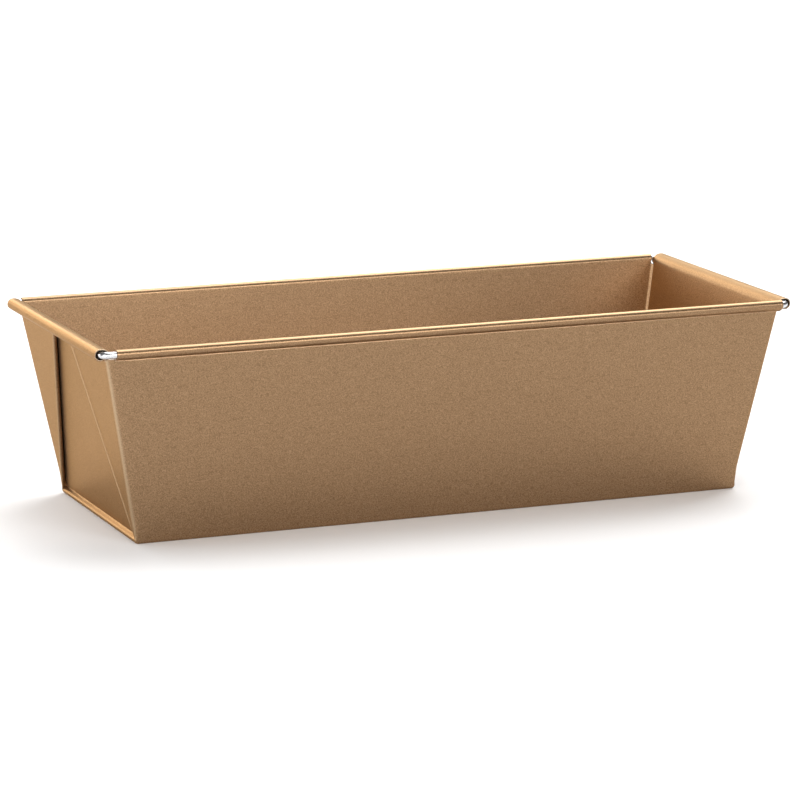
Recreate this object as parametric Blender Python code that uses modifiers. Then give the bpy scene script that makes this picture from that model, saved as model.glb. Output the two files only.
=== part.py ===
"""Loaf pan folded from one sheet of coated steel, its rim curled over a loose steel wire.

The frame is in metres: the origin is the middle of the flat bottom, +X runs along the
length, +Y across the width and +Z up. Each end is closed by two folded gussets that lie
flat against it, so the end wall stands a step inside the outer face of the folds.
"""

import math

import bmesh
import bpy
from mathutils import Vector

# Driving dimensions, in metres.
SHEET = 0.0004  # thickness of the sheet
BASE_LENGTH = 0.2611  # across the outer faces of the folded ends, at the bottom
BASE_WIDTH = 0.0972  # across the side walls, at the bottom
RIM_LENGTH = 0.2910  # the same faces, at the height of the rim wire
RIM_WIDTH = 0.1186
RIM_HEIGHT = 0.0789  # centre of the rim wire above the bottom
CORNER_RADIUS = 0.0028  # outside radius of the four upright bends
BOTTOM_RADIUS = 0.0015  # and of the bends round the bottom

FOLD_STEP = 0.0019  # from the outer face of a fold in to the outer face of the end wall
LAYER_GAP = 0.0003  # left between the two layers of a fold
FOLD_START = 0.0026  # from the corner to the fold's edge, at the foot
FOLD_TO_MIDDLE = 0.0095  # from the middle of the end to the fold's edge, at the rim
FOLD_TOP_DROP = 0.0019  # top of the folds below the centre of the wire
FOLD_TOP_REACH = 0.0007  # above that, the corners end this far past the end wall's face
FOOT_HEIGHT = 0.0042  # where the end wall turns out into the rounded foot
FOOT_BULGE = 0.0008  # how far the foot stands out past the folds' faces

WIRE_DIAMETER = 0.0028
WIRE_CORNER = 0.0035  # radius of the wire's centre line at the four corners
WIRE_JOINT = 0.0010  # gap between the wire's two ends, inside the back curl
SIDE_CLEARANCE = 0.00025  # between the wire and the side curls
END_CLEARANCE = 0.0006  # the end curls also hold the folds, so they are looser
FRONT_CURL_STOPS = (0.00375, 0.00085)  # its left and right ends, short of the rim's corners
BACK_CURL_STOPS = (0.0023, 0.0023)
END_CURL_STOPS = (0.0003, 0.0003)  # the front and back ends of the two end curls
CURL_PAST_TOP = math.radians(215)  # how far a curl is rolled on from its highest line
CURL_ROOT = 0.0010  # how far a curl's root runs down its wall
CURL_SEAT = 0.00005  # how far that root is let into the wall's outer face
WALL_TOP_DROP = 0.0001  # top of the plain wall below the centre of the wire

BEND_SEGMENTS = 4
CURL_STEPS = 6  # flats in each quarter of a curl
WIRE_STEPS = 6  # straight lengths in each corner of the wire
WIRE_ROUNDNESS = 2  # Blender's bevel resolution for the wire
SHARP_ANGLE = math.radians(35)  # edges that turn less than this are shaded smooth
CUT_PAST = 0.0100  # how far an open cut runs past the sheet

# What follows from them.
END_FLARE = (RIM_LENGTH - BASE_LENGTH) / 2 / RIM_HEIGHT
SIDE_FLARE = (RIM_WIDTH - BASE_WIDTH) / 2 / RIM_HEIGHT
END_SHEET = SHEET * math.hypot(1, END_FLARE)  # the sheet's thickness measured level
SIDE_SHEET = SHEET * math.hypot(1, SIDE_FLARE)
WALL_TOP = RIM_HEIGHT - WALL_TOP_DROP
CUT_TOP = RIM_HEIGHT + CUT_PAST
FOLD_TOP = RIM_HEIGHT - FOLD_TOP_DROP
FOLD_THICKNESS = 2 * SHEET + LAYER_GAP
UNDER_FOLD = FOLD_STEP - FOLD_THICKNESS  # the space between a fold and the end wall
# The space stops this far from the side, where the outer layer still keeps the sheet's thickness.
GAP_TO_SIDE = CORNER_RADIUS - math.sqrt(
    (CORNER_RADIUS - SHEET) ** 2 - (CORNER_RADIUS - FOLD_THICKNESS) ** 2
)
FOOT_MITRE = SHEET * (math.sqrt(2) - 1)  # how far a 45-degree turn lowers the sheet's inside
SIDE_CURL_RADIUS = WIRE_DIAMETER / 2 + SIDE_CLEARANCE
END_CURL_RADIUS = WIRE_DIAMETER / 2 + END_CLEARANCE
WIRE_HALF_LENGTH = RIM_LENGTH / 2 + END_CURL_RADIUS
WIRE_HALF_WIDTH = RIM_WIDTH / 2 + SIDE_CURL_RADIUS


def fold_face(z):
    """Distance of the folds' outer face from the middle of the pan, at a height."""
    return BASE_LENGTH / 2 + END_FLARE * z


def end_face(z):
    """The same for the outer face of the end wall, a step further in."""
    return fold_face(z) - FOLD_STEP


def side_face(z):
    """Distance of a side wall's outer face from the middle, at a height."""
    return BASE_WIDTH / 2 + SIDE_FLARE * z


def fold_edge(z):
    """Distance of a fold's slanting edge from the middle of the end, at a height."""
    foot = side_face(FOOT_HEIGHT) - FOLD_START
    slope = (foot - FOLD_TO_MIDDLE) / (RIM_HEIGHT - FOOT_HEIGHT)
    return foot - slope * (z - FOOT_HEIGHT)


def material(name, colour, roughness, metallic):
    made = bpy.data.materials.new(name)
    made.use_nodes = True
    shader = made.node_tree.nodes["Principled BSDF"]
    shader.inputs["Base Color"].default_value = (*colour, 1)
    shader.inputs["Roughness"].default_value = roughness
    shader.inputs["Metallic"].default_value = metallic
    return made


def new_object(name, mesh, collection):
    made = bpy.data.objects.new(name, mesh)
    collection.objects.link(made)
    return made


def smooth_mesh(name, shape):
    """A mesh from a finished bmesh, shaded smooth across its gentle bends."""
    mesh = bpy.data.meshes.new(name)
    shape.to_mesh(mesh)
    shape.free()
    mesh.shade_smooth()
    mesh.set_sharp_from_angle(angle=SHARP_ANGLE)
    return mesh


def object_from(name, shape, collection):
    """An object made from a finished bmesh, with its faces turned outwards."""
    bmesh.ops.recalc_face_normals(shape, faces=shape.faces)
    return new_object(name, smooth_mesh(name, shape), collection)


def stepped_block(levels):
    """A closed block whose rectangle changes with height: levels of (z, half x, half y)."""
    shape = bmesh.new()
    bmesh.ops.create_grid(shape, x_segments=1, y_segments=1, size=1)
    low, half_x, half_y = levels[0]
    bmesh.ops.scale(shape, vec=(half_x, half_y, 1), verts=shape.verts)
    bmesh.ops.translate(shape, vec=(0, 0, low), verts=shape.verts)
    bottom = shape.faces[:]
    cap = bottom
    for (below, last_x, last_y), (z, half_x, half_y) in zip(levels, levels[1:]):
        grown = bmesh.ops.extrude_face_region(shape, geom=cap)
        if cap != bottom:
            bmesh.ops.delete(shape, geom=cap, context="FACES_ONLY")
        corners = [item for item in grown["geom"] if isinstance(item, bmesh.types.BMVert)]
        cap = [item for item in grown["geom"] if isinstance(item, bmesh.types.BMFace)]
        bmesh.ops.scale(shape, vec=(half_x / last_x, half_y / last_y, 1), verts=corners)
        bmesh.ops.translate(shape, vec=(0, 0, z - below), verts=corners)
    return shape


def bend(shape, radius, chosen):
    """Rounds the edges that a test on their two ends chooses."""
    edges = [edge for edge in shape.edges if chosen(*(vert.co for vert in edge.verts))]
    bmesh.ops.bevel(
        shape,
        geom=edges,
        offset=radius,
        segments=BEND_SEGMENTS,
        profile=0.5,
        affect="EDGES",
        material=-1,
    )


def outside(collection):
    """The pan's outside as a solid block, with the corner and bottom bends."""
    foot = fold_face(0) + FOOT_BULGE
    shape = stepped_block(
        [
            (0, foot, side_face(0)),
            (FOOT_HEIGHT, fold_face(FOOT_HEIGHT), side_face(FOOT_HEIGHT)),
            (WALL_TOP, fold_face(WALL_TOP), side_face(WALL_TOP)),
        ]
    )
    bend(shape, CORNER_RADIUS, lambda a, b: abs(a.z - b.z) > SHEET)
    bend(shape, BOTTOM_RADIUS, lambda a, b: max(a.z, b.z) < SHEET)
    return object_from("pan_body", shape, collection)


def inside(collection):
    """The hollow of the pan, whose foot follows the end wall's turn outwards."""
    bulge = fold_face(0) + FOOT_BULGE - SHEET
    turn = FOOT_HEIGHT - FOOT_MITRE
    foot = turn - FOLD_STEP
    shape = stepped_block(
        [
            (SHEET, bulge, side_face(SHEET) - SIDE_SHEET),
            (foot, bulge, side_face(foot) - SIDE_SHEET),
            (turn, end_face(turn) - END_SHEET, side_face(turn) - SIDE_SHEET),
            (CUT_TOP, end_face(CUT_TOP) - END_SHEET, side_face(CUT_TOP) - SIDE_SHEET),
        ]
    )
    bend(shape, BOTTOM_RADIUS - SHEET, lambda a, b: max(a.z, b.z) < 2 * SHEET)
    return object_from("hollow_cutter", shape, collection)


def gap_side(z):
    """Distance from the middle of the end to the side of the space behind a fold."""
    return side_face(z) - GAP_TO_SIDE


def mirrored(cutter, both_sides=False):
    """Repeats a cutter at the other end, and at the other side where it is asked for."""
    mirror = cutter.modifiers.new("other end", "MIRROR")
    mirror.use_axis = (True, both_sides, False)
    mirror.use_mirror_merge = False
    return cutter


def end_space_cutter(collection):
    """All that is open outside an end wall: the space behind both folds and between them.

    Seen from above it is a T, whose bar lies behind the folds. Its floor is the foot's
    45-degree slope.
    """
    half = [(0, gap_side), (UNDER_FOLD, gap_side), (UNDER_FOLD, fold_edge), (CUT_PAST, fold_edge)]
    outline = [(out, side, -1) for out, side in half] + [(out, side, 1) for out, side in half[::-1]]
    shape = bmesh.new()
    number = shape.verts.layers.int.new("corner")
    floor = []
    for index, (out, side, way) in enumerate(outline):
        z = FOOT_HEIGHT - out
        vert = shape.verts.new((end_face(z) + out, way * side(z), z))
        vert[number] = index
        floor.append(vert)
    lifted = bmesh.ops.extrude_face_region(shape, geom=[shape.faces.new(floor)])
    for vert in lifted["geom"]:
        if isinstance(vert, bmesh.types.BMVert):
            out, side, way = outline[vert[number]]
            vert.co = (end_face(CUT_TOP) + out, way * side(CUT_TOP), CUT_TOP)
    return mirrored(object_from("end_space_cutter", shape, collection))


def end_cutter(name, collection, near, far, low, sides, fall=1, both_sides=False):
    """A slab cut at each end, between two distances outside the end wall's face.

    Its floor starts at the height low and falls away outwards, at 45 degrees where fall
    is 1, as the foot does. sides gives its two edges across the end at a height.
    """
    shape = bmesh.new()
    bmesh.ops.create_cube(shape, size=2)
    for vert in shape.verts:
        out = far if vert.co.x > 0 else near
        z = CUT_TOP if vert.co.z > 0 else low - fall * out
        across = sides(z)[1 if vert.co.y > 0 else 0]
        vert.co = (end_face(z) + out, across, z)
    return mirrored(object_from(name, shape, collection), both_sides)


def curl_outline(reach, radius):
    """A curl's wire side, as (distance outside the wall, height over the wire's centre)."""
    quarter = [math.pi / 2 * step / CURL_STEPS for step in range(CURL_STEPS + 1)]
    rise = [(reach - reach * math.cos(turn), radius * math.sin(turn)) for turn in quarter]
    steps = round(CURL_PAST_TOP / (math.pi / 2) * CURL_STEPS)
    rolled = [CURL_PAST_TOP * step / steps for step in range(1, steps + 1)]
    fall = [(reach + radius * math.sin(turn), radius * math.cos(turn)) for turn in rolled]
    points = [(0, -CURL_ROOT)] + rise + fall
    return [(out - CURL_SEAT, up) for out, up in points]


def curl(name, collection, outline, place, run):
    """A curl: its outline set in place, drawn out along the rim and given the sheet's wall."""
    shape = bmesh.new()
    verts = [shape.verts.new(place(out, RIM_HEIGHT + up)) for out, up in outline]
    edges = [shape.edges.new(pair) for pair in zip(verts, verts[1:])]
    drawn = bmesh.ops.extrude_edge_only(shape, edges=edges)
    moved = [item for item in drawn["geom"] if isinstance(item, bmesh.types.BMVert)]
    bmesh.ops.translate(shape, vec=run, verts=moved)
    shape.normal_update()
    root = verts[0].link_faces[0]
    if root.normal.dot(verts[2].co - verts[-1].co) < 0:
        bmesh.ops.reverse_faces(shape, faces=shape.faces)
    made = new_object(name, smooth_mesh(name, shape), collection)
    wall = made.modifiers.new("sheet", "SOLIDIFY")
    wall.thickness = SHEET
    wall.offset = 1
    wall.use_even_offset = True
    return made


def curls(collection):
    """The four curls of the rim, which stop short of the corners."""
    side = curl_outline(SIDE_CURL_RADIUS, SIDE_CURL_RADIUS)
    end = curl_outline(FOLD_STEP + END_CURL_RADIUS, END_CURL_RADIUS)
    wall_y = side_face(RIM_HEIGHT)
    wall_x = end_face(RIM_HEIGHT)
    made = []
    for name, way, stops in (("front", -1, FRONT_CURL_STOPS), ("back", 1, BACK_CURL_STOPS)):
        start = stops[0] - RIM_LENGTH / 2
        run = Vector((RIM_LENGTH - sum(stops), 0, 0))
        made.append(curl(name + "_curl", collection, side,
                         lambda out, z: (start, way * (wall_y + out), z), run))
    for name, way in (("left", -1), ("right", 1)):
        start = END_CURL_STOPS[0] - RIM_WIDTH / 2
        run = Vector((0, RIM_WIDTH - sum(END_CURL_STOPS), 0))
        made.append(curl(name + "_curl", collection, end,
                         lambda out, z: (way * (wall_x + out), start, z), run))
    return made


def boolean(body, other, operation):
    step = body.modifiers.new(other.name, "BOOLEAN")
    step.operation = operation
    step.object = other
    step.solver = "EXACT"


def pan_body(parts, helpers, finish):
    """The whole folded sheet: walls, bottom, doubled corner folds and rim curls."""
    body = outside(parts)
    body.data.materials.append(finish)
    layer_start = UNDER_FOLD + SHEET
    cuts = [
        inside(helpers),
        end_space_cutter(helpers),
        end_cutter("layer_cutter", helpers, layer_start, layer_start + LAYER_GAP,
                   FOOT_HEIGHT + CORNER_RADIUS + FOLD_STEP,
                   lambda z: (fold_edge(z) + SHEET, side_face(z) - CORNER_RADIUS + SHEET),
                   both_sides=True),
        end_cutter("fold_top_cutter", helpers, FOLD_TOP_REACH, CUT_PAST, FOLD_TOP,
                   lambda z: (-side_face(z) - CUT_PAST, side_face(z) + CUT_PAST), fall=0),
    ]
    for cutter in cuts:
        boolean(body, cutter, "DIFFERENCE")
    for piece in curls(helpers):
        boolean(body, piece, "UNION")
    return body


def wire_points():
    """The wire's centre line, from one end at the middle of the back round to the other."""
    points = [(-WIRE_JOINT / 2, WIRE_HALF_WIDTH)]
    for quarter in range(4):
        start = math.pi / 2 * (quarter + 1)
        side_x = -1 if quarter in (0, 1) else 1
        side_y = 1 if quarter in (0, 3) else -1
        centre_x = side_x * (WIRE_HALF_LENGTH - WIRE_CORNER)
        centre_y = side_y * (WIRE_HALF_WIDTH - WIRE_CORNER)
        for step in range(WIRE_STEPS + 1):
            angle = start + math.pi / 2 * step / WIRE_STEPS
            x = centre_x + WIRE_CORNER * math.cos(angle)
            y = centre_y + WIRE_CORNER * math.sin(angle)
            points.append((x, y))
    points.append((WIRE_JOINT / 2, WIRE_HALF_WIDTH))
    return points


def rim_wire(parts, finish):
    """One round wire bent into a ring that runs loose inside the four curls."""
    line = bpy.data.curves.new("rim_wire", "CURVE")
    line.dimensions = "3D"
    line.bevel_depth = WIRE_DIAMETER / 2
    line.bevel_resolution = WIRE_ROUNDNESS
    line.use_fill_caps = True
    points = wire_points()
    spline = line.splines.new("POLY")
    spline.points.add(len(points) - 1)
    for point, (x, y) in zip(spline.points, points):
        point.co = (x, y, 0, 1)
    line.materials.append(finish)
    made = new_object("rim_wire", line, parts)
    made.location = (0, 0, RIM_HEIGHT)
    return made


def main():
    for old in list(bpy.data.objects):
        bpy.data.objects.remove(old, do_unlink=True)
    parts = bpy.data.collections.new("loaf_pan")
    helpers = bpy.data.collections.new("loaf_pan_cutters")
    for collection in (parts, helpers):
        bpy.context.scene.collection.children.link(collection)
    coating = material("champagne_coating", (0.40, 0.25, 0.13), 0.45, 0.7)
    steel = material("bright_steel", (0.75, 0.75, 0.76), 0.25, 1.0)
    pan_body(parts, helpers, coating)
    rim_wire(parts, steel)
    for helper in helpers.objects:
        helper.hide_render = True
        helper.display_type = "WIRE"


main()
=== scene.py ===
# %% [markdown]
# # A loaf pan folded from one sheet
#
# This pan is a bakery classic. One flat blank of coated steel is folded up into a bottom,
# two long walls and two ends. Nothing is cut out at the corners: the spare metal there is
# pleated, and each pleat lies flat on the outside of the end wall. Last of all the rim is
# rolled outwards over a loose ring of bright steel wire, which stays bare at the corners.
#
# The lesson makes the sheet the way the press does. A plan section of the pan is drawn as
# one unbroken line, that line is extruded upwards row by row, the rows are rolled over at
# the top, and the finished skin is then given its thickness.
#
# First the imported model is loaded. It fixes where everything goes.

# %% Load the frame
import math

import bmesh
import bpy
from mathutils import Matrix, Vector


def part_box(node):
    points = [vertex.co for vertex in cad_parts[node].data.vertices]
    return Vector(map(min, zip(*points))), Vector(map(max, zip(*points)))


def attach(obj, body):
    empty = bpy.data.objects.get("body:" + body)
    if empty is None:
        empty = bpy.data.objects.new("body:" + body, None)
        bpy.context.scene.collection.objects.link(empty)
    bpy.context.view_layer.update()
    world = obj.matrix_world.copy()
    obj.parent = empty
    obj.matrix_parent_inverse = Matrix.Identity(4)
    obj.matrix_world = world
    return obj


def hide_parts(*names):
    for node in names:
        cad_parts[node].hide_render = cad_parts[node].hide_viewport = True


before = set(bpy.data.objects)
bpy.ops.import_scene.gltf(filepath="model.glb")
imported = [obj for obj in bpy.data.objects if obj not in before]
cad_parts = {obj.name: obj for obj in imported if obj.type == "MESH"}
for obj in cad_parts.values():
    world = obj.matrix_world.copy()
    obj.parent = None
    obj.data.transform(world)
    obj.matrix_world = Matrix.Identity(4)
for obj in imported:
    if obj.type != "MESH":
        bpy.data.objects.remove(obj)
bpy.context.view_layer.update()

# %% [markdown]
# ## The sizes
#
# The ring of wire and the outermost lines of the rim are read from the frame, so the fine
# model can't drift away from the plain one. The rest are the sizes a sheet-metal drawing
# would give: the thickness, the bends, and how the pleats are stacked.

# %% Sizes from the frame
wire_low, wire_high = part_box("rim_wire")
pan_low, pan_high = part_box("pan_body")
WIRE_RADIUS = (wire_high.z - wire_low.z) / 2
WIRE_Z = (wire_high.z + wire_low.z) / 2
WIRE_X = wire_high.x - WIRE_RADIUS
WIRE_Y = wire_high.y - WIRE_RADIUS
SIDE_BEAD = pan_high.y - WIRE_Y  # outer radius of the rolled rim along the long walls
END_BEAD = pan_high.x - WIRE_X  # and along the ends, where it is looser
END_HOLE = 0.0020  # from the pleats' face to the middle of the wire
print(f"wire {2000 * WIRE_RADIUS:.2f} mm thick, its centre {1000 * WIRE_Z:.2f} mm up")

# %% Sizes of the sheet, in metres
SHEET = 0.0004
BASE_LENGTH = 0.2611  # across the outer faces of the pleats, at the bottom
BASE_WIDTH = 0.0972  # across the long walls, at the bottom
CORNER = 0.0031  # outside radius of the corner bends
BOTTOM_BEND = 0.0014
LAYER_GAP = 0.0003  # between the two layers of a pleat
FOLD_RADIUS = SHEET + LAYER_GAP / 2  # outside radius of a pleat's own fold
FOLD_SWELL = 0.00030  # a fold stands this much proud of its layers
FOLD_FLARE = 0.0012  # length over which a layer swells towards its fold
FOLD_STEP = 0.0019  # the end wall stands this far inside the pleat's face
DEEP_TURN = (FOLD_STEP - 2 * SHEET - LAYER_GAP) / 2  # where a pleat turns into the end wall
DEEP_TO_SIDE = 0.0022  # from the long wall's face to the middle of that turn
FOLD_TOP = WIRE_Z - 0.0019
PLEAT_APEX = 0.0015  # height at which the pleats start, at the bottom corners
APEX_CORNER = 0.0006  # radius of the corner there
PLEAT_TO_MIDDLE = 0.0100  # from the middle of the end to a pleat's fold, at the rim
FOOT_TOP = 0.0032  # the end wall turns out below this, to meet the bottom
FOOT_BULGE = 0.0002
RIM_X = WIRE_X - END_HOLE  # outer face of the pleats at the wire's height
RIM_Y = WIRE_Y - (SIDE_BEAD - SHEET)  # outer face of a long wall there
END_SLOPE = (RIM_X - BASE_LENGTH / 2) / WIRE_Z
SIDE_SLOPE = (RIM_Y - BASE_WIDTH / 2) / WIRE_Z
print(f"the ends lean {math.degrees(math.atan(END_SLOPE)):.1f} degrees outwards, "
      f"the long walls {math.degrees(math.atan(SIDE_SLOPE)):.1f}")

# %% [markdown]
# ## The plan section
#
# Seen from above at any height, the sheet is one line. It runs along the long wall, round
# the corner, along the face of the end, folds back on itself, returns to the corner, turns
# once more in the deep corner and becomes the end wall. Every bend shares the corner's
# centre, which is why the layers nest without touching.
#
# The line could be typed in as a list of points. It is worked out instead from four
# lengths, because the pleat changes its width all the way up. Each stop on the line has a
# name and a share from 0 to 1 along its stretch, so any stop can be placed at any height.
# The same function places both skins of the sheet: the outer one, and the inner one a sheet's
# thickness behind it.

# %% Stops along one quarter of the section
def shares(count):
    return [step / count for step in range(1, count + 1)]


def quarter_stops():
    """Stops from the middle of a long wall to the middle of an end, as (stretch, share)."""
    along = [0, 0.2, 0.4, 0.6, 0.8, 0.94, 0.99, 1]
    stops = [("side", share) for share in along]
    stops += [("corner", share) for share in shares(8)]
    stops += [("outer layer", share) for share in (0.04, 0.5, 0.96, 1)]
    stops += [("outer flare", share) for share in shares(4)]
    stops += [("fold", share) for share in shares(8)]
    stops += [("inner flare", share) for share in shares(4)]
    stops += [("inner layer", share) for share in (0.04, 0.5, 0.96, 1)]
    stops += [("deep turn", share) for share in shares(10)]
    stops += [("end", share) for share in (0.02, 0.1, 0.3, 0.55, 0.8, 1)]
    return stops


STOPS = quarter_stops()
print(len(STOPS), "stops in a quarter of the section")


# %% Where the walls stand at a height
FULLY_OPEN = 1.2  # a pleat has its full bends when it's wider than they are by this many fold radii
SMALLEST_BEND = 0.0001  # the inner skin of a bend is never tighter than this


def smooth(value):
    """A soft step from 0 to 1."""
    value = min(1, max(0, value))
    return value * value * (3 - 2 * value)


def side_face(z):
    return BASE_WIDTH / 2 + SIDE_SLOPE * z


def pleat_face(z):
    foot = smooth((FOOT_TOP - z) / (FOOT_TOP - PLEAT_APEX))
    return BASE_LENGTH / 2 + END_SLOPE * z + FOOT_BULGE * foot


def pleat_width(z):
    """From the corner to the pleat's fold, which starts at nothing at the apex."""
    full = side_face(WIRE_Z) - PLEAT_TO_MIDDLE
    return full * max(0, z - PLEAT_APEX) / (WIRE_Z - PLEAT_APEX)


print(f"a pleat is {1000 * pleat_width(FOLD_TOP):.1f} mm wide at its top")


# %% Place a stop on either skin
def wall_point(stretch, share, z, inner):
    """A stop as (x, y) in the quarter where both are positive."""
    wall = SHEET if inner else 0
    width = pleat_width(z)
    opened = min(1, width / (CORNER + FOLD_FLARE + FULLY_OPEN * FOLD_RADIUS))
    stepped = smooth((z - PLEAT_APEX) / (FOOT_TOP - PLEAT_APEX))
    radius = APEX_CORNER + (CORNER - APEX_CORNER) * opened
    centre_x = pleat_face(z) - radius
    centre_y = side_face(z) - radius
    fold_y = side_face(z) - APEX_CORNER - width + FOLD_RADIUS * opened
    deep_y = centre_y + (CORNER - DEEP_TO_SIDE) * opened * stepped
    outer_x = pleat_face(z) - wall
    inner_x = pleat_face(z) - (2 * SHEET + LAYER_GAP) * stepped + wall * (2 * stepped - 1)
    end_x = pleat_face(z) - FOLD_STEP * stepped - wall
    swell = FOLD_SWELL * opened * stepped
    flare_y = fold_y + FOLD_FLARE * opened
    if stretch == "side":
        return centre_x * share, side_face(z) - wall
    if stretch == "corner":
        turn = math.pi / 2 * share
        bend = max(radius - wall, SMALLEST_BEND)
        return centre_x + bend * math.sin(turn), centre_y + bend * math.cos(turn)
    if stretch == "outer layer":
        return outer_x, centre_y + (flare_y - centre_y) * share
    if stretch == "outer flare":
        return outer_x + swell * smooth(share), flare_y + (fold_y - flare_y) * share
    if stretch == "inner flare":
        return inner_x - swell * smooth(1 - share), fold_y + (flare_y - fold_y) * share
    if stretch == "inner layer":
        return inner_x, flare_y + (deep_y - flare_y) * share
    if stretch == "fold":
        turn = math.pi * share
        bend = (FOLD_RADIUS - wall) * opened
        middle_x = (outer_x + inner_x) / 2
        reach_x = (outer_x - inner_x) / 2 + swell
        return middle_x + reach_x * math.cos(turn), fold_y - bend * math.sin(turn)
    if stretch == "deep turn":
        turn = math.pi * share
        bend = (DEEP_TURN + wall) * min(opened, stepped)
        middle_x = (inner_x + end_x) / 2
        reach_x = (inner_x - end_x) / 2
        return middle_x + reach_x * math.cos(turn), deep_y + bend * math.sin(turn)
    return end_x, deep_y * (1 - share)


# %% [markdown]
# ## Rows
#
# Going up, the section is repeated at a row of heights. The rows are close together in the
# bottom bend and in the foot, where the end wall swings out to reach the bottom, and far
# apart above, because the walls are flat there.
#
# In the bottom bend a height isn't enough, since the sheet turns under. Those rows are
# counted by their angle instead, from 90 degrees on the flat bottom to nearly upright.

# %% Rows from the bottom to the top of the walls
BEND_ROWS = 7
FOOT_STEPS = 9  # an odd number: halfway up the foot the two skins of the inner layer would meet
FOOT_ROWS = [PLEAT_APEX + (FOOT_TOP - PLEAT_APEX) * step / FOOT_STEPS
             for step in range(FOOT_STEPS + 1)]
WORN_EDGE = 0.0006  # width of the worn line along the cut top of a corner
WALL_ROWS = [0.0050, 0.0062, 0.0080, 0.0100, 0.0200, 0.0350, 0.0500, 0.0650,
             FOLD_TOP - WORN_EDGE, FOLD_TOP]
HEIGHTS = FOOT_ROWS + WALL_ROWS
ROWS = BEND_ROWS + len(HEIGHTS)


def sheet_point(row, stretch, share, inner):
    """A stop in three dimensions, still in the quarter where x and y are positive."""
    if row >= BEND_ROWS:
        z = HEIGHTS[row - BEND_ROWS]
        return Vector((*wall_point(stretch, share, z, inner), z))
    turn = math.pi / 2 * (1 - row / BEND_ROWS)
    wall = SHEET if inner else 0
    x, y = wall_point(stretch, share, PLEAT_APEX, inner)
    sunk = (BOTTOM_BEND - wall) * (1 - math.cos(turn))
    x *= 1 - sunk / (pleat_face(PLEAT_APEX) - wall)
    y *= 1 - sunk / (side_face(PLEAT_APEX) - wall)
    return Vector((x, y, PLEAT_APEX - (PLEAT_APEX - wall) * math.sin(turn)))


print(ROWS, "rows up to", round(1000 * FOLD_TOP, 1), "mm")


# %% [markdown]
# ## The rolled rim
#
# Above the pleats the walls carry on into the rim. The rim is easiest to describe as a walk:
# go up the wall, bend outwards on this radius through this angle, go straight for a little,
# and so on. The long walls wrap closely round the wire. The ends have to clear the pleats
# first, so they lean over on a much larger radius before they take the same turn.
#
# The free edge is pinched back towards the wall and ends in a small lip that faces outwards.

# %% Walk along the middle of the sheet
STEP_ANGLE = math.radians(12)


def walk(reach, z, heading, moves):
    """(reach, z, heading) along a path. A move is a radius and a turn, or a length and 0."""
    path = [(reach, z, heading)]
    for size, turn in moves:
        if turn == 0:
            reach += size * math.sin(heading)
            z += size * math.cos(heading)
            path.append((reach, z, heading))
            continue
        way = math.copysign(size, turn)
        centre = (reach + way * math.cos(heading), z - way * math.sin(heading))
        steps = math.ceil(abs(turn) / STEP_ANGLE)
        for step in range(1, steps + 1):
            angle = heading + turn * step / steps
            path.append((centre[0] - way * math.cos(angle),
                         centre[1] + way * math.sin(angle), angle))
        reach, z, heading = path[-1]
    return path


LIP_BEND = 0.00045
LIP = 0.00055  # length of the lip below its bend
LIP_HEADING = math.radians(163)  # straight down is 180 degrees
END_LEAN = 0.0038  # radius on which an end leans out over its pleats
SIDE_ROLLED = math.radians(290)  # heading at which a roll ends and its lip begins
END_ROLLED = math.radians(306)


def side_rim():
    radius = SIDE_BEAD - SHEET / 2
    lean = math.atan(SIDE_SLOPE)
    start = (WIRE_Y - radius * math.cos(lean), WIRE_Z + radius * math.sin(lean))
    return walk(*start, lean, [
        (radius, SIDE_ROLLED - lean), (LIP_BEND, LIP_HEADING - SIDE_ROLLED), (LIP, 0)])


def end_rim():
    radius = END_BEAD - SHEET / 2
    lean = math.atan(END_SLOPE)
    low = WIRE_Z + radius - END_LEAN * (1 - math.sin(lean))
    start = pleat_face(low) - FOLD_STEP - SHEET / 2
    level = WIRE_X - start - END_LEAN * math.cos(lean)
    upright = math.pi / 2
    return walk(start, low, lean, [
        (END_LEAN, upright - lean), (level, 0), (radius, END_ROLLED - upright),
        (LIP_BEND, LIP_HEADING - END_ROLLED), (LIP, 0)])


RIMS = {"side": side_rim(), "end": end_rim()}
for name, path in RIMS.items():
    print(name, "rim:", len(path), "rows, from", [round(1000 * value, 2) for value in path[0][:2]])

# %% Where each rolled rim stops, short of the corners
FRONT_STOPS = (0.00375, 0.00085)  # left and right
BACK_STOPS = (0.0023, 0.0023)
END_STOP = 0.0003


def rim_point(step, stretch, share, way_x, way_y, inner):
    """A stop of the rim, step rows above the top of the wall."""
    name = "side" if stretch == "side" else "end"
    reach, z, heading = RIMS[name][step]
    skin = -SHEET / 2 if inner else SHEET / 2
    reach += skin * math.cos(heading)
    z -= skin * math.sin(heading)
    if name == "side":
        stops = FRONT_STOPS if way_y < 0 else BACK_STOPS
        stop = stops[0] if way_x < 0 else stops[1]
        return Vector((way_x * share * (RIM_X - stop), way_y * reach, z))
    along = 1 - share if stretch == "end" else 1
    return Vector((way_x * reach, way_y * along * (RIM_Y - END_STOP), z))


# %% [markdown]
# ## Draw the sheet
#
# A ring of vertices is laid along the section at the very bottom and filled, which makes the
# floor. `extrude_edge_only` then lifts the ring from row to row. The new vertices inherit the
# number of the stop they came from, so each knows where it belongs.
#
# The last step uses `extrude_face_region` on the whole open skin. It makes the second skin and
# closes every cut edge between the two. A Solidify modifier would do the same on a simple
# shell, but it can't know that the layers of a pleat have to stay apart. Here the second
# skin's vertices are simply asked for their own place.

# %% The ring of stops
def ring_of_stops():
    """Every stop round the pan, as (stretch, share, way_x, way_y), from the middle of the front."""
    ring = []
    for way_x, way_y, onward in ((-1, -1, True), (-1, 1, False), (1, 1, True), (1, -1, False)):
        quarter = STOPS if onward else STOPS[::-1]
        ring += [(*stop, way_x, way_y) for stop in quarter[1:]]
    return ring[-1:] + ring[:-1]


RING = ring_of_stops()


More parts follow.
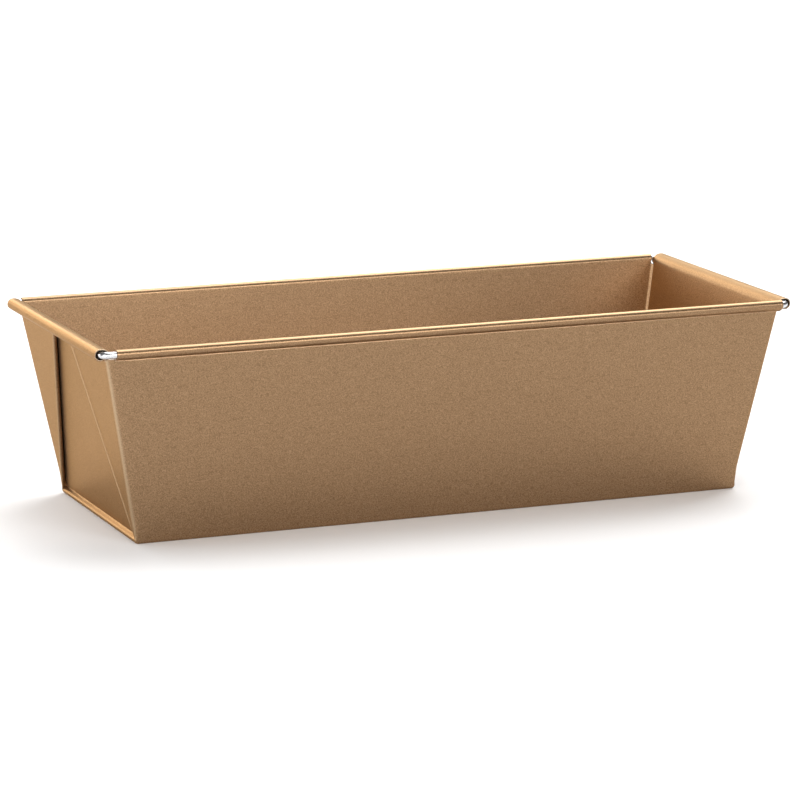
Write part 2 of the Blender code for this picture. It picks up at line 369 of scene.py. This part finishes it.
def place(row, stop, inner):
    stretch, share, way_x, way_y = RING[stop]
    if row >= ROWS:
        return rim_point(row - ROWS, stretch, share, way_x, way_y, inner)
    point = sheet_point(row, stretch, share, inner)
    return Vector((way_x * point.x, way_y * point.y, point.z))


def in_rim(stop, side):
    """Whether a stop belongs to the rim of the front, back, left or right wall."""
    stretch, share, way_x, way_y = RING[stop]
    if stretch == "side":
        return side == ("front" if way_y < 0 else "back")
    if stretch == "end" or (stretch == "deep turn" and share == 1):
        return side == ("left" if way_x < 0 else "right")
    return False


# %% Extrude it row by row
def raised(sheet, edges, row, stop_layer, row_layer):
    """Extrudes edges to the next row and returns the new edges."""
    made = bmesh.ops.extrude_edge_only(sheet, edges=edges)["geom"]
    for vert in made:
        if isinstance(vert, bmesh.types.BMVert):
            vert[row_layer] = row
            vert.co = place(row, vert[stop_layer], False)
    return [edge for edge in made if isinstance(edge, bmesh.types.BMEdge)]


def draw_sheet():
    sheet = bmesh.new()
    stop_layer = sheet.verts.layers.int.new("stop")
    row_layer = sheet.verts.layers.int.new("row")
    skin_layer = sheet.verts.layers.int.new("skin")
    verts = []
    for stop in range(len(RING)):
        vert = sheet.verts.new(place(0, stop, False))
        vert[stop_layer] = stop
        verts.append(vert)
    edges = [sheet.edges.new(pair) for pair in zip(verts, verts[1:] + verts[:1])]
    sheet.faces.new(verts)
    for row in range(1, ROWS):
        edges = raised(sheet, edges, row, stop_layer, row_layer)
    top = edges
    for side, name in (("front", "side"), ("back", "side"), ("left", "end"), ("right", "end")):
        edges = [edge for edge in top if all(in_rim(vert[stop_layer], side) for vert in edge.verts)]
        for step in range(len(RIMS[name])):
            edges = raised(sheet, edges, ROWS + step, stop_layer, row_layer)
    bmesh.ops.recalc_face_normals(sheet, faces=sheet.faces)
    return sheet, stop_layer, row_layer, skin_layer


def give_thickness(sheet, stop_layer, row_layer, skin_layer):
    """Adds the inner skin and returns the faces of the cut edges, which join the two skins."""
    outer = set(sheet.faces)
    made = bmesh.ops.extrude_face_region(sheet, geom=sheet.faces[:])["geom"]
    for vert in made:
        if isinstance(vert, bmesh.types.BMVert):
            vert[skin_layer] = 1
            vert.co = place(vert[row_layer], vert[stop_layer], True)
    inner = {face for face in made if isinstance(face, bmesh.types.BMFace)}
    return [face for face in sheet.faces if face not in outer and face not in inner]


sheet, stop_layer, row_layer, skin_layer = draw_sheet()
cut_faces = give_thickness(sheet, stop_layer, row_layer, skin_layer)
print(len(sheet.faces), "faces, of which", len(cut_faces), "are cut edges")

# %% [markdown]
# ## Painted highlights
#
# Lighter lines are painted into the coating where the highlights fall: along
# the crown of the rolled rim, on the corner bends and on the folds of the pleats. Each
# vertex gets a painted highlight attribute from its place on the section, fading out on
# either side. It could be read from the mesh's curvature instead, but then it would change
# with the number of rows.

# %% Where the painted highlights lie
RIM_PAINTED_HIGHLIGHT = (math.radians(90), math.radians(55))  # middle of the painted highlight line on the rim's crown, half its width
CORNER_PAINTED_HIGHLIGHT = (0.66, 0.30)  # the same, as shares of the way round the bend
CORNER_HIGHLIGHT_STRENGTH = 0.75
FOLD_HIGHLIGHT_END = 0.4  # share of the way round a fold at which its painted highlight ends
FOLD_HIGHLIGHT_STRENGTH = 0.5


def peak(value, middle, half_width):
    return smooth(1 - abs(value - middle) / half_width)


def painted_highlight(row, stretch, share, inner):
    """How much painted highlight a stop gets, from 0 to 1."""
    if row >= ROWS:
        heading = RIMS["side" if stretch == "side" else "end"][row - ROWS][2]
        return peak(heading, *RIM_PAINTED_HIGHLIGHT)
    if inner or row < BEND_ROWS:
        return 0
    if stretch == "corner":
        return CORNER_HIGHLIGHT_STRENGTH * peak(share, *CORNER_PAINTED_HIGHLIGHT)
    if stretch == "outer flare":
        return FOLD_HIGHLIGHT_STRENGTH * smooth(share)
    if stretch == "fold":
        return FOLD_HIGHLIGHT_STRENGTH * smooth(1 - share / FOLD_HIGHLIGHT_END)
    return 0


# Painted highlight: how much lighter coating each vertex gets where the light catches it.
painted_highlight_layer = sheet.verts.layers.float.new("painted_highlight")
for vert in sheet.verts:
    stretch, share = RING[vert[stop_layer]][:2]
    vert[painted_highlight_layer] = painted_highlight(vert[row_layer], stretch, share, vert[skin_layer])
print(sum(vert[painted_highlight_layer] > 0 for vert in sheet.verts), "vertices are rubbed")

# %% [markdown]
# ## Cut edges
#
# A shear leaves a crisp edge that the coating never covers well, so the steel shows through.
# The edge gets a small bevel, which gives it a highlight of its own, and its vertices are
# marked with a second attribute. The coating's material reads that mark and lets the bare
# metal through where it is high.

# %% Bevel and mark the cut edges
EDGE_BEVEL = 0.00008
BARE_CUT = 0.60  # how bare the cut edges are; the worn tops of the corners are at 1
NEAR_CORNER = 0.95  # share along a long wall from which its top counts as a corner's
bare_layer = sheet.verts.layers.float.new("bare_edge")
for face in cut_faces:
    for vert in face.verts:
        vert[bare_layer] = BARE_CUT
for vert in sheet.verts:
    stretch, share = RING[vert[stop_layer]][:2]
    corner_top = stretch == "corner" or (stretch == "side" and share > NEAR_CORNER)
    if vert[row_layer] == ROWS - 1 and corner_top and not vert[skin_layer]:
        vert[bare_layer] = 1
cut_set = set(cut_faces)
cut_lines = [edge for edge in sheet.edges
             if sum(face in cut_set for face in edge.link_faces) == 1]
bmesh.ops.bevel(sheet, geom=cut_lines, offset=EDGE_BEVEL, segments=2, profile=0.5,
                affect="EDGES", material=-1, clamp_overlap=True)
bmesh.ops.remove_doubles(sheet, verts=sheet.verts, dist=1e-6)
bmesh.ops.recalc_face_normals(sheet, faces=sheet.faces)
print("closed:", all(edge.is_manifold for edge in sheet.edges),
      f"volume {1e6 * sheet.calc_volume(signed=True):.1f} cm3")


# %% Make objects of finished shapes
SHARP = math.radians(40)


def finished(name, shape):
    """The object of a finished bmesh, at the origin, shaded smooth up to a sharp angle."""
    mesh = bpy.data.meshes.new(name)
    shape.to_mesh(mesh)
    shape.free()
    mesh.shade_smooth()
    mesh.set_sharp_from_angle(angle=SHARP)
    made = bpy.data.objects.new(name, mesh)
    bpy.context.scene.collection.objects.link(made)
    print(name, "has", len(mesh.polygons), "faces")
    return made


folded_sheet = finished("folded_sheet", sheet)
even = folded_sheet.modifiers.new("flat faces keep their normals", "WEIGHTED_NORMAL")
even.keep_sharp = True

# %% [markdown]
# ## The rim wire
#
# The ring is one length of round steel wire, bent at four corners, whose ends butt together
# inside the rolled rim at the back. It could be a curve with a bevel depth. Here a circle is
# extruded along the straight runs and spun round each corner, so the bends come out with a
# true radius and even rows.

# %% Run and spin the wire
WIRE_CORNER = 0.0035  # radius of the wire's centre line
WIRE_JOINT = 0.0010  # gap between the wire's two ends
WIRE_SIDES = 32
CORNER_STEPS = 16


def run_on(wire, edges, move):
    made = bmesh.ops.extrude_edge_only(wire, edges=edges)["geom"]
    verts = [item for item in made if isinstance(item, bmesh.types.BMVert)]
    bmesh.ops.translate(wire, verts=verts, vec=move)
    return [item for item in made if isinstance(item, bmesh.types.BMEdge)
            and all(vert in verts for vert in item.verts)]


def rim_ring():
    wire = bmesh.new()
    place_now = Vector((-WIRE_JOINT / 2, WIRE_Y, WIRE_Z))
    facing = Matrix.Rotation(math.pi / 2, 4, "Y")
    bmesh.ops.create_circle(wire, cap_ends=True, segments=WIRE_SIDES, radius=WIRE_RADIUS,
                            matrix=Matrix.Translation(place_now) @ facing)
    edges = wire.edges[:]
    half_run = WIRE_X - WIRE_CORNER - WIRE_JOINT / 2
    long_run = 2 * (WIRE_X - WIRE_CORNER)
    short_run = 2 * (WIRE_Y - WIRE_CORNER)
    heading = Vector((-1, 0, 0))
    quarter = Matrix.Rotation(math.pi / 2, 3, "Z")
    for run in (half_run, short_run, long_run, short_run):
        edges = run_on(wire, edges, heading * run)
        place_now += heading * run
        centre = place_now + (quarter @ heading) * WIRE_CORNER
        turned = bmesh.ops.spin(wire, geom=edges, cent=centre, axis=(0, 0, 1),
                                angle=math.pi / 2, steps=CORNER_STEPS, use_duplicate=False)
        edges = [item for item in turned["geom_last"] if isinstance(item, bmesh.types.BMEdge)]
        place_now = centre - (quarter @ quarter @ heading) * WIRE_CORNER
        heading = quarter @ heading
    edges = run_on(wire, edges, heading * half_run)
    bmesh.ops.contextual_create(wire, geom=edges)
    bmesh.ops.remove_doubles(wire, verts=wire.verts, dist=1e-6)
    bmesh.ops.recalc_face_normals(wire, faces=wire.faces)
    print("wire closed:", all(edge.is_manifold for edge in wire.edges),
          f"volume {1e9 * wire.calc_volume(signed=True):.0f} mm3")
    return wire


wire_ring = finished("wire_ring", rim_ring())

# %% [markdown]
# ## Two finishes
#
# The coating is a baked champagne metallic: a film full of fine flakes, neither glossy nor
# quite matt. Up close it is a fine grain of lighter and darker specks. The wire is plain
# drawn steel.
#
# Both finishes need a grain, so the grain is a node group that each material places with its
# own values. The group gives out plain values only, and each material keeps its own shader.

# %% Small helpers for node trees
def add(tree, kind, **settings):
    made = tree.nodes.new(kind)
    for name, value in settings.items():
        setattr(made, name, value)
    return made


def fill(made, **values):
    """Sets a node's inputs; an underscore in a name stands for a space."""
    for name, value in values.items():
        made.inputs[name.replace("_", " ")].default_value = value
    return made


# %% The shared grain
def grain_group():
    """Fine specks over a slow, cloudy variation."""
    group = bpy.data.node_groups.new("grain", "ShaderNodeTree")
    face = group.interface
    face.new_socket("Vector", in_out="INPUT", socket_type="NodeSocketVector")
    face.new_socket("Speck Scale", in_out="INPUT", socket_type="NodeSocketFloat")
    face.new_socket("Cloud Scale", in_out="INPUT", socket_type="NodeSocketFloat")
    face.new_socket("Specks", in_out="OUTPUT", socket_type="NodeSocketFloat")
    face.new_socket("Clouds", in_out="OUTPUT", socket_type="NodeSocketFloat")
    source = add(group, "NodeGroupInput")
    result = add(group, "NodeGroupOutput")
    for name, scale, detail in (("Specks", "Speck Scale", 2), ("Clouds", "Cloud Scale", 3)):
        noise = fill(add(group, "ShaderNodeTexNoise"), Detail=detail, Roughness=0.6)
        group.links.new(source.outputs["Vector"], noise.inputs["Vector"])
        group.links.new(source.outputs[scale], noise.inputs["Scale"])
        group.links.new(noise.outputs["Fac"], result.inputs[name])
    return group


grain = grain_group()


def new_material(name, metallic, edge_tint):
    """A metal with the grain in place. The tint is the colour it mirrors at a glancing angle."""
    made = bpy.data.materials.new(name)
    made.use_nodes = True
    tree = made.node_tree
    shader = tree.nodes["Principled BSDF"]
    fill(shader, Metallic=metallic, Specular_Tint=(*edge_tint, 1))
    place_in = add(tree, "ShaderNodeTexCoord")
    specks = add(tree, "ShaderNodeGroup", node_tree=grain)
    tree.links.new(place_in.outputs["Object"], specks.inputs["Vector"])
    return made, tree, shader, specks


def ranged(tree, source, low, high, to_low, to_high):
    """A value mapped from one range to another, and held at its ends."""
    made = add(tree, "ShaderNodeMapRange")
    fill(made, From_Min=low, From_Max=high, To_Min=to_low, To_Max=to_high)
    tree.links.new(source, made.inputs["Value"])
    return made.outputs["Result"]


def mixed(tree, factor, first, second):
    """Two colours mixed by a factor; each is a colour or another node's output."""
    made = add(tree, "ShaderNodeMix", data_type="RGBA")
    tree.links.new(factor, made.inputs["Factor"])
    for name, value in (("A", first), ("B", second)):
        socket = next(item for item in made.inputs if item.name == name and item.type == "RGBA")
        if isinstance(value, bpy.types.NodeSocket):
            tree.links.new(value, socket)
        else:
            socket.default_value = (*value, 1)
    return next(item for item in made.outputs if item.type == "RGBA")


def bumped(tree, shader, height, distance, strength):
    made = fill(add(tree, "ShaderNodeBump"), Distance=distance, Strength=strength)
    tree.links.new(height, made.inputs["Height"])
    tree.links.new(made.outputs["Normal"], shader.inputs["Normal"])


# %% Champagne coating
COAT_DARK = (0.185, 0.111, 0.057)
COAT_LIGHT = (0.350, 0.220, 0.123)
COAT_EDGE = (0.80, 0.60, 0.42)
# A lighter coating colour, painted in as highlights on the rim crown, corner bends and pleat folds.
PAINTED_HIGHLIGHT_COAT = (0.62, 0.47, 0.31)
PAINTED_HIGHLIGHT_MOST = 0.6  # how much of the painted highlight colour shows where the highlight is strongest
BARE_STEEL = (0.80, 0.74, 0.68)
BARE_FROM = 0.55  # the bare_edge mark above which the steel starts to show


def coating():
    made, tree, shader, specks = new_material("baked_champagne", 0.9, COAT_EDGE)
    fill(specks, Speck_Scale=2400, Cloud_Scale=14)
    fine = ranged(tree, specks.outputs["Specks"], 0.34, 0.66, 0, 1)
    colour = mixed(tree, fine, COAT_DARK, COAT_LIGHT)
    # The painted highlight is mixed into the coating colour here.
    painted_highlight_at = add(tree, "ShaderNodeAttribute", attribute_name="painted_highlight")
    painted_highlight_mix = ranged(tree, painted_highlight_at.outputs["Fac"], 0, 1, 0, PAINTED_HIGHLIGHT_MOST)
    colour = mixed(tree, painted_highlight_mix, colour, PAINTED_HIGHLIGHT_COAT)
    bare = add(tree, "ShaderNodeAttribute", attribute_name="bare_edge")
    worn = ranged(tree, bare.outputs["Fac"], BARE_FROM, 1, 0, 1)
    tree.links.new(mixed(tree, worn, colour, BARE_STEEL), shader.inputs["Base Color"])
    rough = ranged(tree, specks.outputs["Clouds"], 0.35, 0.65, 0.31, 0.36)
    tree.links.new(rough, shader.inputs["Roughness"])
    bumped(tree, shader, specks.outputs["Specks"], 0.00006, 0.6)
    return made


# %% Bright steel
STEEL_DARK = (0.56, 0.56, 0.58)
STEEL_LIGHT = (0.72, 0.72, 0.73)


def steel():
    made, tree, shader, specks = new_material("drawn_steel", 1.0, (1, 1, 1))
    fill(specks, Speck_Scale=2500, Cloud_Scale=60)
    colour = mixed(tree, specks.outputs["Clouds"], STEEL_DARK, STEEL_LIGHT)
    tree.links.new(colour, shader.inputs["Base Color"])
    rough = ranged(tree, specks.outputs["Specks"], 0.3, 0.7, 0.22, 0.32)
    tree.links.new(rough, shader.inputs["Roughness"])
    bumped(tree, shader, specks.outputs["Specks"], 0.00001, 0.3)
    return made


folded_sheet.data.materials.append(coating())
wire_ring.data.materials.append(steel())
for material in bpy.data.materials:
    print("material", material.name)

# %% [markdown]
# ## Join the pieces to the frame
#
# Both pieces ride on the one body, and each stands for its own CAD node.

# %% Ride on the body and hide the CAD nodes they replace
for piece, node, finish in ((folded_sheet, "pan_body", "champagne_coating"),
                            (wire_ring, "rim_wire", "bright_steel")):
    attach(piece, "root")
    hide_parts(node)

# %% [markdown]
# ## Floor, light and camera
#
# A coated pan shows what surrounds it more than it shows its own colour, so the light comes
# from large softboxes. The one overhead lights the crown of the rim and the inside. The one
# in front shines on the long wall and over it into the pan, and the one at the front left
# lights the end with its pleats. Two weaker ones stand at the left and behind. The last hangs
# over the floor behind the pan and keeps it pale there.

# %% Floor and world
FLOOR_SIZE = 6
FLOOR_WHITE = (0.92, 0.92, 0.92, 1)

floor_shape = bmesh.new()
bmesh.ops.create_grid(floor_shape, x_segments=1, y_segments=1, size=FLOOR_SIZE)
floor = finished("floor", floor_shape)
floor_paint = bpy.data.materials.new("pale_floor")
floor_paint.use_nodes = True
fill(floor_paint.node_tree.nodes["Principled BSDF"], Base_Color=FLOOR_WHITE, Roughness=0.9)
floor.data.materials.append(floor_paint)

world = bpy.data.worlds.new("studio")
bpy.context.scene.world = world
world.use_nodes = True
fill(world.node_tree.nodes["Background"], Color=(1, 1, 1, 1), Strength=0.12)


# %% Soft lights
def softbox(name, power, place_at, towards, size):
    """A rectangular light at a place, facing a point and unseen by the camera."""
    lamp = bpy.data.lights.new(name, "AREA")
    lamp.shape = "RECTANGLE"
    lamp.size, lamp.size_y = size
    lamp.energy = power
    made = bpy.data.objects.new(name, lamp)
    bpy.context.scene.collection.objects.link(made)
    made.location = place_at
    made.rotation_mode = "QUATERNION"
    made.rotation_quaternion = (Vector(towards) - made.location).to_track_quat("-Z", "Y")
    made.visible_camera = False
    print(name, power, "W")


PAN_MIDDLE = (0, 0, 0.04)
softbox("overhead", 27, (0.55, 0.45, 1.3), PAN_MIDDLE, (1.1, 1.7))
softbox("front", 26, (0.3, -2.0, 0.8), PAN_MIDDLE, (1.6, 0.5))
softbox("front_left", 34, (-1.6, -1.6, 0.45), PAN_MIDDLE, (1.0, 0.7))
softbox("left_behind", 8, (-1.2, 0.5, 0.3), PAN_MIDDLE, (0.9, 0.6))
softbox("behind", 9, (-0.5, 1.3, 0.45), PAN_MIDDLE, (1.3, 0.7))
softbox("far_floor", 45, (0.3, 2.6, 1.5), (0.3, 2.6, 0), (3.0, 1.6))

# %% Camera
CAMERA_AZIMUTH = math.radians(-21.9)  # 0 looks along +Y
CAMERA_HEIGHT = math.radians(13.1)  # above the horizon
CAMERA_DISTANCE = 1.659
CAMERA_AIM = Vector((0.0004, 0, 0.0384))
CAMERA_LENS = 179.7

camera = bpy.data.objects.new("camera", bpy.data.cameras.new("camera"))
bpy.context.scene.collection.objects.link(camera)
camera.location = CAMERA_DISTANCE * Vector((
    math.sin(CAMERA_AZIMUTH) * math.cos(CAMERA_HEIGHT),
    -math.cos(CAMERA_AZIMUTH) * math.cos(CAMERA_HEIGHT),
    math.sin(CAMERA_HEIGHT),
))
camera.rotation_mode = "QUATERNION"
camera.rotation_quaternion = (CAMERA_AIM - camera.location).to_track_quat("-Z", "Y")
camera.data.lens = CAMERA_LENS
bpy.context.scene.camera = camera
bpy.context.scene.view_settings.view_transform = "Standard"
print("camera at", [round(value, 3) for value in camera.location])
